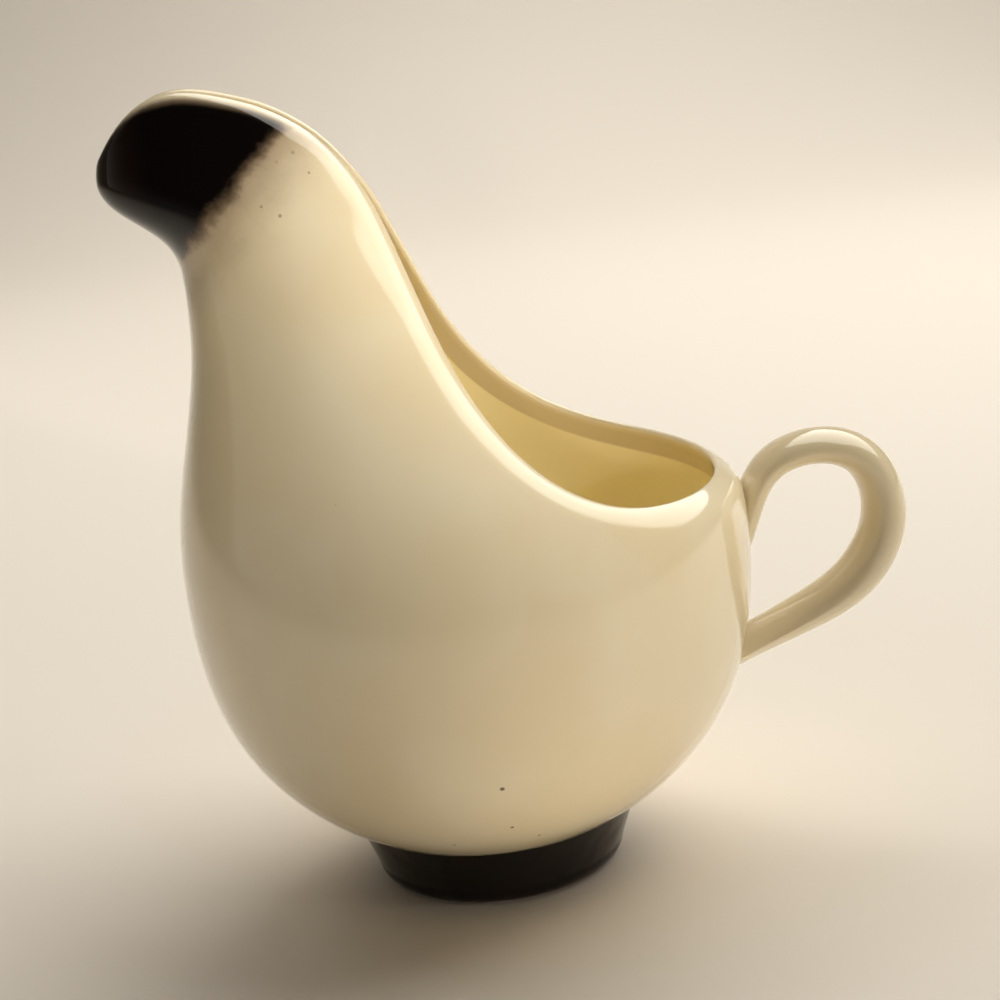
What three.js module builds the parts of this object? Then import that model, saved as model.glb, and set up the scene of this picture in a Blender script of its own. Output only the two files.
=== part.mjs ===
import * as THREE from 'three';

// A creamer of glazed clay: a round bowl drawn up at the front into a tall spout, a foot ring under it, and
// a strap handle behind it. Sizes are in millimetres. The spout points along -X, the handle along +X, +Z is up.

// Walls and joints.
const WALL = 4; // the cast wall, and the width of its rounded lip
const CLEARANCE = 0.3; // left free between neighbouring pieces
const SLIP = 0.8; // the layer of clay slip that sticks two pieces together
const SLIP_SPREAD = 0.5; // how far the slip under a handle end shows past it

// The bowl is the lower part of an ellipsoid that hangs clear of the table.
const BELLY_RADIUS = 48;
const BOWL_DEPTH = 43.2; // from the widest round down to the underside
const BOWL_LIFT = 4.8; // height of the underside over the table

// Shoulder: level oval sections that grow out of the bowl. Each has its rise above the widest round, and how
// far its front, back and sides stand out past that round.
const SHOULDER = [
  { rise: 8, front: 0.9, back: 0.9, side: 1.1 },
  { rise: 22, front: 0.1, back: -1.5, side: -2.8 },
  { rise: 36, front: -3, back: -13, side: -10.2 },
];

// Spout: level oval sections again, whose front is measured from the belly's front. The rim cuts away most
// of their back.
const SPOUT = [
  { rise: 49, front: -5.7, depth: 60.3, width: 59 },
  { rise: 60, front: -6.3, depth: 47.7, width: 44.6 },
  { rise: 68, front: -4.5, depth: 43, width: 34.8 },
  { rise: 74, front: 2.5, depth: 46.5, width: 29 },
  { rise: 79, front: 5.6, depth: 45.6, width: 24.4 },
  { rise: 85, front: 4.5, depth: 40.5, width: 19 },
  { rise: 94, front: 2.5, depth: 32, width: 10 },
];

// Side view of the line where the wall ends and its lip begins, from the back of the mouth to the tip of the
// spout. Points are measured behind the belly's front and above the widest round.
const RIM_BACK_RISE = 19.5;
const RIM = [
  { behind: 76, rise: 22.2 },
  { behind: 59.3, rise: 31.7 },
  { behind: 48, rise: 48.3 },
  { behind: 41, rise: 68.3 },
  { behind: 33.8, rise: 80.8 },
  { behind: 25, rise: 87.3 },
  { behind: 17, rise: 90.3 },
  { behind: 7.7, rise: 91.6 },
  { behind: 0.2, rise: 87.9 },
];
const RIM_TIP_RISE = 82.5;

// Foot ring.
const FOOT_RADIUS = 22.2; // of its side, above the rounded standing edge
const FOOT_FLARE = 3.6; // how much wider it is where it meets the bowl
const FOOT_WALL = 6.5;
const FOOT_OUTER_ROUNDING = 3;
const FOOT_INNER_ROUNDING = 0.8;

// Handle: its centre line, measured out from the belly and up from the widest round. Both ends start
// inside the wall, so that they can be cut to it.
const HANDLE_LINE = [
  { out: -4.2, rise: 0.5 },
  { out: 0, rise: 8.1 },
  { out: 5, rise: 17.7 },
  { out: 14.6, rise: 20.8 },
  { out: 22.7, rise: 16.7 },
  { out: 24.9, rise: 6.4 },
  { out: 19.3, rise: -3.5 },
  { out: 8.8, rise: -9.5 },
  { out: -6.3, rise: -15.5 },
];
const STRAP_THIN = 4.6; // thickness near both ends
const STRAP_THICK = 7.3; // thickness where it is fullest
const STRAP_FULLEST = 0.62; // place of that along the line, from 0 to 1
const STRAP_WIDTH = 11.6;
const STRAP_FLARE = 1.6; // extra width at both ends
const STRAP_ROUNDING = 0.75; // 1 is an oval section, less is squarer

// Mesh fineness.
const HALF_TURNS = 40; // steps round one half of the body
const BOWL_ROWS = 9;
const UPPER_ROWS = 17;
const LIP_STEPS = 4;
const ROUNDING_STEPS = 4;
const FOOT_STEPS = 56;
const STRAP_ROWS = 34;
const STRAP_SIDES = 18;

// Natural cubic spline through (knots, values).
function spline(knots, values) {
  const last = knots.length - 1;
  const bend = new Array(last + 1).fill(0);
  const carry = new Array(last + 1).fill(0);
  for (let i = 1; i < last; i += 1) {
    const before = knots[i] - knots[i - 1];
    const after = knots[i + 1] - knots[i];
    const pivot = 2 * (before + after) - before * carry[i - 1];
    const turn = (values[i + 1] - values[i]) / after - (values[i] - values[i - 1]) / before;
    carry[i] = after / pivot;
    bend[i] = (6 * turn - before * bend[i - 1]) / pivot;
  }
  for (let i = last - 1; i > 0; i -= 1) bend[i] -= carry[i] * bend[i + 1];
  return (at) => {
    let i = 0;
    while (i < last - 1 && at > knots[i + 1]) i += 1;
    const span = knots[i + 1] - knots[i];
    const a = (knots[i + 1] - at) / span;
    const b = 1 - a;
    const curve = ((a ** 3 - a) * bend[i] + (b ** 3 - b) * bend[i + 1]) * span * span / 6;
    return a * values[i] + b * values[i + 1] + curve;
  };
}

// Stations of the body, from two mirrored ones below the underside up past the crown of the spout.
const BELLY_LEVEL = BOWL_LIFT + BOWL_DEPTH;
const bowlStations = [-40, -20, 0, 20, 40, 60, 80].map((degrees) => {
  const angle = THREE.MathUtils.degToRad(degrees);
  const radius = BELLY_RADIUS * Math.sin(angle);
  return { z: BELLY_LEVEL - BOWL_DEPTH * Math.cos(angle), front: radius, back: radius, half: radius };
});
const shoulderStations = SHOULDER.map(({ rise, front, back, side }) => ({
  z: BELLY_LEVEL + rise,
  front: BELLY_RADIUS + front,
  back: BELLY_RADIUS + back,
  half: BELLY_RADIUS + side,
}));
const spoutStations = SPOUT.map(({ rise, front, depth, width }) => ({
  z: BELLY_LEVEL + rise,
  front: BELLY_RADIUS + front,
  back: depth - BELLY_RADIUS - front,
  half: width / 2,
}));
const stations = [...bowlStations, ...shoulderStations, ...spoutStations];
const UNDERSIDE = 2; // station index of the underside's centre
const WIDEST = bowlStations.length - 0.8; // climb at which the mesh rows start to fan out to the rim
const TOP = stations.length - 1;
const places = stations.map((_, index) => index);
const heightAt = spline(places, stations.map((station) => station.z));
const frontAt = spline(places, stations.map((station) => station.front));
const backAt = spline(places, stations.map((station) => station.back));
const halfAt = spline(places, stations.map((station) => station.half));

// Point on the outer skin. The climb counts stations, and the turn is 0 at the back and pi at the front.
function skin(turn, climb) {
  const front = frontAt(climb);
  const back = backAt(climb);
  const x = (back - front) / 2 + ((back + front) / 2) * Math.cos(turn);
  return new THREE.Vector3(x, halfAt(climb) * Math.sin(turn), heightAt(climb));
}

function skinNormal(turn, climb) {
  if (climb < UNDERSIDE + 0.001) return new THREE.Vector3(0, 0, -1);
  const step = 0.0005;
  const round = skin(turn + step, climb).sub(skin(turn - step, climb));
  const up = skin(turn, climb + step).sub(skin(turn, climb - step));
  return round.cross(up).normalize();
}

function offsetSkin(turn, climb, distance) {
  return skin(turn, climb).addScaledVector(skinNormal(turn, climb), distance);
}

function climbAtHeight(z) {
  let low = UNDERSIDE;
  let high = TOP;
  for (let i = 0; i < 40; i += 1) {
    const middle = (low + high) / 2;
    if (heightAt(middle) < z) low = middle;
    else high = middle;
  }
  return low;
}

// The rim line in side view. It starts and ends on the outline of the skin.
const rimStart = BELLY_LEVEL + RIM_BACK_RISE;
const rimStop = BELLY_LEVEL + RIM_TIP_RISE;
const rimLine = [
  { x: backAt(climbAtHeight(rimStart)), z: rimStart },
  ...RIM.map(({ behind, rise }) => ({ x: behind - BELLY_RADIUS, z: BELLY_LEVEL + rise })),
  { x: -frontAt(climbAtHeight(rimStop)), z: rimStop },
];
const RIM_END = rimLine.length - 1;
const rimPlaces = rimLine.map((_, index) => index);
const rimX = spline(rimPlaces, rimLine.map((point) => point.x));
const rimZ = spline(rimPlaces, rimLine.map((point) => point.z));

// Place on the skin of one point of the rim line.
function rimPlace(along) {
  const climb = climbAtHeight(rimZ(along));
  const front = frontAt(climb);
  const back = backAt(climb);
  const level = (2 * rimX(along) - back + front) / (back + front);
  return { turn: Math.acos(THREE.MathUtils.clamp(level, -1, 1)), climb };
}

// Places of one half of the rim, from the back to the tip, an even distance apart.
function spreadRim(count) {
  const fine = 400;
  const marks = Array.from({ length: fine + 1 }, (_, i) => (RIM_END * i) / fine);
  const run = [0];
  let before = skin(0, rimPlace(0).climb);
  for (const mark of marks.slice(1)) {
    const { turn, climb } = rimPlace(mark);
    const point = skin(turn, climb);
    run.push(run[run.length - 1] + point.distanceTo(before));
    before = point;
  }
  return Array.from({ length: count + 1 }, (_, i) => {
    if (i === 0) return { turn: 0, climb: rimPlace(0).climb };
    if (i === count) return { turn: Math.PI, climb: rimPlace(RIM_END).climb };
    const wanted = (run[fine] * i) / count;
    let k = 0;
    while (run[k + 1] <= wanted) k += 1;
    const part = (wanted - run[k]) / (run[k + 1] - run[k]);
    return rimPlace(marks[k] + part * (marks[k + 1] - marks[k]));
  });
}

// Mesh from rings of points with the same count. A ring of one point is a pole; with loop set, the last
// ring joins the first.
function ringGeometry(rings, loop) {
  const positions = [];
  const starts = [];
  for (const ring of rings) {
    starts.push(positions.length / 3);
    for (const point of ring) positions.push(point.x, point.y, point.z);
  }
  const faces = [];
  const strips = loop ? rings.length : rings.length - 1;
  for (let r = 0; r < strips; r += 1) {
    const next = (r + 1) % rings.length;
    const lower = rings[r].length;
    const upper = rings[next].length;
    const count = Math.max(lower, upper);
    for (let i = 0; i < count; i += 1) {
      const j = (i + 1) % count;
      const a = starts[r] + (lower > 1 ? i : 0);
      const b = starts[r] + (lower > 1 ? j : 0);
      const c = starts[next] + (upper > 1 ? j : 0);
      const d = starts[next] + (upper > 1 ? i : 0);
      if (lower > 1) faces.push(a, b, c);
      if (upper > 1) faces.push(a, c, d);
    }
  }
  const geometry = new THREE.BufferGeometry();
  geometry.setAttribute('position', new THREE.Float32BufferAttribute(positions, 3));
  geometry.setIndex(faces);
  geometry.computeVertexNormals();
  return geometry;
}

function bodyGeometry() {
  const half = spreadRim(HALF_TURNS);
  const mirrored = half.slice(1, -1).reverse().map(({ turn, climb }) => ({ turn: 2 * Math.PI - turn, climb }));
  const rim = [...half, ...mirrored];
  const count = rim.length;
  // Rows stay level up to the widest round. From there each line of the mesh makes for its rim point, and
  // turns towards it late, so that it doesn't cross the rim before.
  const placeOf = (i, row) => {
    const base = (2 * Math.PI * i) / count;
    if (row <= BOWL_ROWS) return { turn: base, climb: UNDERSIDE + ((WIDEST - UNDERSIDE) * row) / BOWL_ROWS };
    const part = (row - BOWL_ROWS) / UPPER_ROWS;
    return { turn: base + (rim[i].turn - base) * part ** 3, climb: WIDEST + (rim[i].climb - WIDEST) * part };
  };
  const ringAt = (row, distance) => rim.map((_, i) => {
    const { turn, climb } = placeOf(i, row);
    return offsetSkin(turn, climb, distance);
  });
  const rows = BOWL_ROWS + UPPER_ROWS;
  const rings = [[offsetSkin(0, UNDERSIDE, 0)]];
  for (let row = 1; row <= rows; row += 1) rings.push(ringAt(row, 0));
  const edge = rings[rows];
  const lip = rim.map(({ turn, climb }, i) => {
    const outward = skinNormal(turn, climb);
    const along = edge[(i + 1) % count].clone().sub(edge[(i + count - 1) % count]);
    const up = outward.clone().cross(along).normalize();
    const centre = edge[i].clone().addScaledVector(outward, -WALL / 2);
    return { outward, up, centre };
  });
  for (let step = 1; step < LIP_STEPS; step += 1) {
    const angle = (Math.PI * step) / LIP_STEPS;
    rings.push(lip.map(({ outward, up, centre }) => centre.clone()
      .addScaledVector(outward, (WALL / 2) * Math.cos(angle))
      .addScaledVector(up, (WALL / 2) * Math.sin(angle))));
  }
  for (let row = rows; row >= 1; row -= 1) rings.push(ringAt(row, -WALL));
  rings.push([offsetSkin(0, UNDERSIDE, -WALL)]);
  return ringGeometry(rings, false);
}

// Climb at which the bowl's skin, moved outwards, has a given radius.
function climbAtRadius(radius, distance) {
  let low = UNDERSIDE + 0.01;
  let high = WIDEST;
  for (let i = 0; i < 40; i += 1) {
    const middle = (low + high) / 2;
    if (offsetSkin(0, middle, distance).x < radius) low = middle;
    else high = middle;
  }
  return low;
}

// Solid of revolution about Z from a closed profile of { r, z } points.
function turnedGeometry(profile) {
  const rings = profile.map(({ r, z }) => Array.from({ length: FOOT_STEPS }, (_, i) => {
    const angle = (2 * Math.PI * i) / FOOT_STEPS;
    return new THREE.Vector3(r * Math.cos(angle), r * Math.sin(angle), z);
  }));
  return ringGeometry(rings, true);
}

// Points of the bowl's outline between two radii, moved outwards.
function bowlLine(fromRadius, toRadius, distance, steps) {
  return Array.from({ length: steps + 1 }, (_, i) => {
    const radius = fromRadius + ((toRadius - fromRadius) * i) / steps;
    const point = offsetSkin(0, climbAtRadius(radius, distance), distance);
    return { r: point.x, z: point.z };
  });
}

const JOINT = 2 * CLEARANCE + SLIP; // from the bowl's skin to the piece that is stuck on it
const FOOT_TOP_RADIUS = FOOT_RADIUS + FOOT_FLARE;
const FOOT_BORE = FOOT_RADIUS - FOOT_WALL;

// Quarter round of a standing edge, as { r, z } points from one angle to another.
function roundedEdge(r, radius, from, to) {
  return Array.from({ length: ROUNDING_STEPS + 1 }, (_, i) => {
    const angle = from + ((to - from) * i) / ROUNDING_STEPS;
    return { r: r + radius * Math.cos(angle), z: radius + radius * Math.sin(angle) };
  });
}

function footGeometry() {
  const outer = FOOT_RADIUS - FOOT_OUTER_ROUNDING;
  const inner = FOOT_BORE + FOOT_INNER_ROUNDING;
  return turnedGeometry([
    ...roundedEdge(inner, FOOT_INNER_ROUNDING, Math.PI, 1.5 * Math.PI),
    ...roundedEdge(outer, FOOT_OUTER_ROUNDING, 1.5 * Math.PI, 2 * Math.PI),
    ...bowlLine(FOOT_TOP_RADIUS, FOOT_BORE, JOINT, 4),
  ]);
}

function footSlipGeometry() {
  const under = bowlLine(FOOT_BORE, FOOT_TOP_RADIUS, CLEARANCE + SLIP, 4);
  const over = bowlLine(FOOT_TOP_RADIUS, FOOT_BORE, CLEARANCE, 4);
  return turnedGeometry([...under, ...over]);
}

// Handle strap: centre line, frame and section.
const lineKnots = HANDLE_LINE.map((_, index) => index / (HANDLE_LINE.length - 1));
const lineX = spline(lineKnots, HANDLE_LINE.map((point) => BELLY_RADIUS + point.out));
const lineZ = spline(lineKnots, HANDLE_LINE.map((point) => BELLY_LEVEL + point.rise));

function strapPoint(angle, along) {
  const step = 0.0005;
  const dx = lineX(along + step) - lineX(along - step);
  const dz = lineZ(along + step) - lineZ(along - step);
  const length = Math.hypot(dx, dz);
  const full = 0.5 + 0.5 * Math.cos(2 * Math.PI * (along - STRAP_FULLEST));
  const thickness = STRAP_THIN + (STRAP_THICK - STRAP_THIN) * full;
  const width = STRAP_WIDTH + STRAP_FLARE * (2 * along - 1) ** 6;
  const squared = (value) => Math.sign(value) * Math.abs(value) ** STRAP_ROUNDING;
  const through = (thickness / 2) * squared(Math.cos(angle));
  const across = (width / 2) * squared(Math.sin(angle));
  const x = lineX(along) - (dz / length) * through;
  return new THREE.Vector3(x, across, lineZ(along) + (dx / length) * through);
}

// Nearest place on the back of the body, and how far the point stands off it.
function nearBack(point) {
  const foot = point.clone();
  let nearest = null;
  for (let i = 0; i < 12; i += 1) {
    const climb = climbAtHeight(foot.z);
    const turn = Math.asin(THREE.MathUtils.clamp(foot.y / halfAt(climb), -1, 1));
    const normal = skinNormal(turn, climb);
    const distance = point.clone().sub(skin(turn, climb)).dot(normal);
    foot.copy(point).addScaledVector(normal, -distance);
    nearest = { turn, climb, distance };
  }
  return nearest;
}

// Where one edge line of the strap comes down to its slip, going from the middle of the line to an end.
function strapEnd(angle, end) {
  const clear = (along) => nearBack(strapPoint(angle, along)).distance > JOINT;
  const steps = 120;
  let reached = 1;
  while (reached < steps && clear(0.5 + ((end - 0.5) * reached) / steps)) reached += 1;
  let free = 0.5 + ((end - 0.5) * (reached - 1)) / steps;
  let inside = 0.5 + ((end - 0.5) * reached) / steps;
  for (let i = 0; i < 30; i += 1) {
    const middle = (free + inside) / 2;
    if (clear(middle)) free = middle;
    else inside = middle;
  }
  return free;
}

const strapAngles = Array.from({ length: STRAP_SIDES }, (_, i) => (2 * Math.PI * i) / STRAP_SIDES);
const strapStarts = strapAngles.map((angle) => strapEnd(angle, 0));
const strapStops = strapAngles.map((angle) => strapEnd(angle, 1));

// The patch of the body's back that one end of the strap covers. A ring of it can be drawn in or spread.
function endPatch(ends) {
  const outline = strapAngles.map((angle, i) => nearBack(strapPoint(angle, ends[i])));
  const mean = (key) => outline.reduce((sum, place) => sum + place[key], 0) / outline.length;
  const turn = mean('turn');
  const climb = mean('climb');
  const middle = skin(turn, climb);
  const ring = (share, spread, distance) => outline.map((place) => {
    const reach = skin(place.turn, place.climb).distanceTo(middle);
    const size = share * (1 + spread / reach);
    const across = turn + (place.turn - turn) * size;
    const up = climb + (place.climb - climb) * size;
    return offsetSkin(across, up, distance);
  });
  return { ring, centre: (distance) => [offsetSkin(turn, climb, distance)] };
}

function handleGeometry() {
  const first = endPatch(strapStarts);
  const last = endPatch(strapStops);
  const rings = [first.centre(JOINT), first.ring(0.5, 0, JOINT)];
  for (let row = 0; row <= STRAP_ROWS; row += 1) {
    const part = row / STRAP_ROWS;
    rings.push(strapAngles.map((angle, i) => {
      const along = strapStarts[i] + (strapStops[i] - strapStarts[i]) * part;
      return strapPoint(angle, along);
    }));
  }
  rings.push(last.ring(0.5, 0, JOINT), last.centre(JOINT));
  return ringGeometry(rings, false);
}

function handleSlipGeometry(ends) {
  const patch = endPatch(ends);
  const under = CLEARANCE;
  const over = CLEARANCE + SLIP;
  return ringGeometry([
    patch.centre(under),
    patch.ring(0.5, 0, under),
    patch.ring(1, SLIP_SPREAD, under),
    patch.ring(1, SLIP_SPREAD, over),
    patch.ring(0.5, 0, over),
    patch.centre(over),
  ], false);
}

// Turns the faces outwards if a piece came out inside out.
function faceOutwards(geometry) {
  const position = geometry.getAttribute('position');
  const index = geometry.getIndex();
  const [a, b, c] = [new THREE.Vector3(), new THREE.Vector3(), new THREE.Vector3()];
  let volume = 0;
  for (let i = 0; i < index.count; i += 3) {
    a.fromBufferAttribute(position, index.getX(i));
    b.fromBufferAttribute(position, index.getX(i + 1));
    c.fromBufferAttribute(position, index.getX(i + 2));
    volume += a.dot(b.cross(c));
  }
  if (volume > 0) return geometry;
  for (let i = 0; i < index.count; i += 3) {
    const held = index.getX(i);
    index.setX(i, index.getX(i + 1));
    index.setX(i + 1, held);
  }
  geometry.computeVertexNormals();
  return geometry;
}

function piece(name, geometry, color, roughness) {
  const material = new THREE.MeshStandardMaterial({ color, roughness, metalness: 0 });
  const mesh = new THREE.Mesh(faceOutwards(geometry), material);
  mesh.name = name;
  return mesh;
}

const IVORY_GLAZE = 0xe2d3b0;
const SLIP_GLAZE = 0xd9c9a3;
const DARK_GLAZE = 0x1e1612;

const creamer = new THREE.Group();
creamer.name = 'creamer';
creamer.add(
  piece('body', bodyGeometry(), IVORY_GLAZE, 0.15),
  piece('foot_ring', footGeometry(), DARK_GLAZE, 0.3),
  piece('foot_slip', footSlipGeometry(), DARK_GLAZE, 0.3),
  piece('handle', handleGeometry(), IVORY_GLAZE, 0.15),
  piece('upper_handle_slip', handleSlipGeometry(strapStarts), SLIP_GLAZE, 0.2),
  piece('lower_handle_slip', handleSlipGeometry(strapStops), SLIP_GLAZE, 0.2),
);

// The origin is at the middle of the base.
const box = new THREE.Box3().setFromObject(creamer);
const middle = box.getCenter(new THREE.Vector3());
for (const mesh of creamer.children) mesh.geometry.translate(-middle.x, -middle.y, -box.min.z);

export default creamer;
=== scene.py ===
# %% [markdown]
# # A creamer with a dark-tipped spout
# The real thing is cast clay under a glossy ivory glaze. A round bowl is drawn up at the front into a
# tall beak-like spout, the tip of the spout is sprayed near-black, a dark ring carries the bowl and a
# strap handle stands behind it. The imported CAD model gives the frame. Its plain solids could simply be
# painted, but their facets would show in a glossy coat, so every piece is made again with a finer mesh
# and stands where its CAD node stands. Sizes are written in millimetres, as on a maker's drawing, and
# are turned into Blender's metres where a mesh is made.

import math

import bmesh
import bpy
import numpy as np
from mathutils import Matrix, Vector


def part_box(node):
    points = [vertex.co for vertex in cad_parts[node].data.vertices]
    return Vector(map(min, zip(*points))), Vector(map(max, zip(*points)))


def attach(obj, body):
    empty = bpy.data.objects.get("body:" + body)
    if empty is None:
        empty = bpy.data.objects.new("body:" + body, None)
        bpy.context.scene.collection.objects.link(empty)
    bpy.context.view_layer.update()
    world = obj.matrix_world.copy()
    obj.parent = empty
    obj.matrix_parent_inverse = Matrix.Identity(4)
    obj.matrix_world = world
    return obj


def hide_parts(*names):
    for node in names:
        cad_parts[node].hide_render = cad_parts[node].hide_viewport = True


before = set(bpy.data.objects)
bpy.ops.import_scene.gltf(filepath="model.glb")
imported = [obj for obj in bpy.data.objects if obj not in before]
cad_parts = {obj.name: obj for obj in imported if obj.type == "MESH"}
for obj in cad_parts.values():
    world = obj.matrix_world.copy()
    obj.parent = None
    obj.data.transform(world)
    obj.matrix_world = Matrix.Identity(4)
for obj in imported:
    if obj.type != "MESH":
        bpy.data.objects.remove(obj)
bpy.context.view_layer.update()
MM = 0.001
FULL_TURN = 2 * math.pi
foot_low, foot_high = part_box("foot_ring")
FOOT_CENTRE = (foot_low.x + foot_high.x) / 2 / MM
print("foot centre is at x =", round(FOOT_CENTRE, 2), "mm, nodes:", sorted(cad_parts))

# %% [markdown]
# ## Node maths as plain sums
# Every pattern of the glaze and every bend of the handle is a sum on values that change from place to
# place. Such sums could be wired by hand in the node editor, but that hides the formula. Here a small
# class wraps a node's output socket, so that `1 - mask` or `a * b` adds the Math nodes by itself. Shaders
# and Geometry Nodes share these Math nodes, so one class serves both.

# %% A socket that can be used in sums
class Wire:
    """The output socket of a node, with the sums that this script needs."""

    def __init__(self, tree, socket):
        self.tree = tree
        self.socket = socket

    def maths(self, operation, first, second=0.0):
        return self.tree.add("ShaderNodeMath", {"operation": operation}, {0: first, 1: second})

    def __add__(self, other):
        return self.maths("ADD", self, other)

    def __radd__(self, other):
        return self.maths("ADD", other, self)

    def __sub__(self, other):
        return self.maths("SUBTRACT", self, other)

    def __rsub__(self, other):
        return self.maths("SUBTRACT", other, self)

    def __mul__(self, other):
        return self.maths("MULTIPLY", self, other)

    def __rmul__(self, other):
        return self.maths("MULTIPLY", other, self)

    def __pow__(self, other):
        return self.maths("POWER", self, other)

    def __rpow__(self, other):
        return self.maths("POWER", other, self)

    def __gt__(self, other):
        return self.maths("GREATER_THAN", self, other)

    def __lt__(self, other):
        return self.maths("LESS_THAN", self, other)

    def function(self, operation):
        return self.maths(operation, self)

    def at_least(self, other):
        return self.maths("MAXIMUM", self, other)


print("signs that add a Math node: + - * ** > <")

# %% [markdown]
# The second class stands for the whole node tree. Each type of node could have a helper of its own, but
# one method `add` is enough: it takes a node's type, its settings and the values or links of its sockets.
# Three short methods cover what is wanted most: a soft step, a mix of two colours and the three numbers of
# a vector.

# %% A tree that adds nodes
class Tree:
    """Adds nodes to a node tree."""

    def __init__(self, node_tree):
        self.tree = node_tree

    def add(self, kind, settings=None, sockets=None, out=0):
        """Sets the settings first, then the sockets. A tuple of outputs gives a list of wires."""
        node = self.tree.nodes.new(kind)
        for name, value in (settings or {}).items():
            setattr(node, name, value)
        for name, value in (sockets or {}).items():
            if isinstance(value, Wire):
                self.tree.links.new(value.socket, node.inputs[name])
            else:
                node.inputs[name].default_value = value
        if isinstance(out, tuple):
            return [Wire(self, node.outputs[name]) for name in out]
        return Wire(self, node.outputs[out]) if node.outputs else node

    def step(self, value, start, stop):
        """Runs smoothly from 0 at start to 1 at stop."""
        return self.add("ShaderNodeMapRange", {"interpolation_type": "SMOOTHSTEP"},
                        {"Value": value, "From Min": start, "From Max": stop})

    def blend(self, factor, first, second):
        """Mixes two colours. A Mix node names its sockets alike for all types, so they are numbered."""
        return self.add("ShaderNodeMix", {"data_type": "RGBA"}, {0: factor, 6: first, 7: second}, out=2)

    def axes(self, vector):
        """The three numbers of a vector."""
        return self.add("ShaderNodeSeparateXYZ", None, {0: vector}, out=("X", "Y", "Z"))


print("a tree adds any node, and has short ways to: step, blend, axes")

# %% [markdown]
# ## Colours
# A potter picks a glaze from a fired tile. Here a colour is picked as it looks on a screen, with 0 to 255
# for red, green and blue. Blender works with amounts of light, so screen values have to be turned into
# linear ones. The colour picker does that too, but a function keeps the colours readable in the script.

# %% Screen colours as light
def paint(red, green, blue):
    """An sRGB colour of 0 to 255 as Blender's linear colour."""
    shares = [value / 255 for value in (red, green, blue)]
    return (*[s / 12.92 if s < 0.0405 else ((s + 0.055) / 1.055) ** 2.4 for s in shares], 1)


print("a middle grey on the screen has", round(paint(128, 128, 128)[0], 3), "of the light of white")

# %% [markdown]
# ## The shell
# The bowl, its neck and its spout are one cast wall. It could be sculpted, or modelled from a box with
# subdivision, but then many loops are needed to hold the long rim. So the wall is drawn as its maker would
# draw it: level oval sections one above the other, with smooth curves through them, and a side view of the
# rim that cuts them off. The values are those of the CAD part.

# %% Measures of the shell
WALL = 4.0
BELLY_RADIUS = 48.0
BOWL_DEPTH = 43.2
BOWL_LIFT = 4.8
BELLY_LEVEL = BOWL_LIFT + BOWL_DEPTH

# Degrees up the round underside. The ones below 0 lie past its middle and keep the curve even there.
BOWL_ANGLES = (-40, -20, 0, 20, 40, 60, 80)

# Rise above the widest round, then how far front, back and sides stand out past that round.
SHOULDER = [
    (8, 0.9, 0.9, 1.1),
    (22, 0.1, -1.5, -2.8),
    (36, -3, -13, -10.2),
]

# Rise, front past the belly's front, depth from front to back, and width.
SPOUT = [
    (49, -5.7, 60.3, 59),
    (60, -6.3, 47.7, 44.6),
    (68, -4.5, 43, 34.8),
    (74, 2.5, 46.5, 29),
    (79, 5.6, 45.6, 24.4),
    (85, 4.5, 40.5, 19),
    (94, 2.5, 32, 10),
]

# Side view of the rim from the back of the mouth to the tip: behind the belly's front, and rise.
RIM_BACK_RISE = 19.5
RIM = [
    (76, 22.2), (59.3, 31.7), (48, 48.3), (41, 68.3), (33.8, 80.8),
    (25, 87.3), (17, 90.3), (7.7, 91.6), (0.2, 87.9),
]
RIM_TIP_RISE = 82.5
print("the belly is widest at", BELLY_LEVEL, "mm, the mouth starts at", BELLY_LEVEL + RIM_BACK_RISE, "mm")

# %% [markdown]
# ### Sections with a smooth curve through them
# Between two drawn sections the clay runs on without a kink. A Bezier curve in Blender would need handles
# that are set by eye. A natural spline needs none: it is the bend that a springy ruler takes when it is held
# at the drawn points. It bends height, front, back and half width together.

# %% A springy curve through stations
def natural_spline(points):
    """A smooth curve through rows of numbers, one row for each whole number along it."""
    rows = np.array(points, float)
    count = len(rows)
    system = np.eye(count)
    turns = np.zeros_like(rows)
    for i in range(1, count - 1):
        system[i, i - 1:i + 2] = (1, 4, 1)
        turns[i] = 6 * (rows[i + 1] - 2 * rows[i] + rows[i - 1])
    bends = np.linalg.solve(system, turns)

    def at(along):
        along = np.asarray(along, float)
        low = np.clip(np.floor(along).astype(int), 0, count - 2)
        b = (along - low)[..., None]
        a = 1 - b
        return (a * rows[low] + b * rows[low + 1]
                + ((a ** 3 - a) * bends[low] + (b ** 3 - b) * bends[low + 1]) / 6)

    return at


stations = [(BELLY_LEVEL - BOWL_DEPTH * math.cos(a), *[BELLY_RADIUS * math.sin(a)] * 3)
            for a in np.radians(BOWL_ANGLES)]
stations += [(BELLY_LEVEL + rise, BELLY_RADIUS + front, BELLY_RADIUS + back, BELLY_RADIUS + side)
             for rise, front, back, side in SHOULDER]
stations += [(BELLY_LEVEL + rise, BELLY_RADIUS + front, depth - BELLY_RADIUS - front, width / 2)
             for rise, front, depth, width in SPOUT]
section_at = natural_spline(stations)
print("shell sections:", len(stations))

# %% [markdown]
# ### The skin
# A point of the wall's outside is named by two numbers: its turn round the upright middle line, and its
# climb from section to section. Points could be read off a finished mesh, but a formula gives them, and
# the direction in which the wall faces, as finely as the mesh asks.

# %% Points and directions of the skin
# The climb at the middle of the underside, the marks of a table that turns heights into climbs, and the
# small step that feels which way the wall faces.
UNDERSIDE = float(BOWL_ANGLES.index(0))
CLIMB_MARKS = 4000
NUDGE = 1e-3

climbs = np.linspace(UNDERSIDE, len(stations) - 1, CLIMB_MARKS)
climb_heights = section_at(climbs)[:, 0]


def climb_at_height(height):
    return np.interp(height, climb_heights, climbs)


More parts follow.
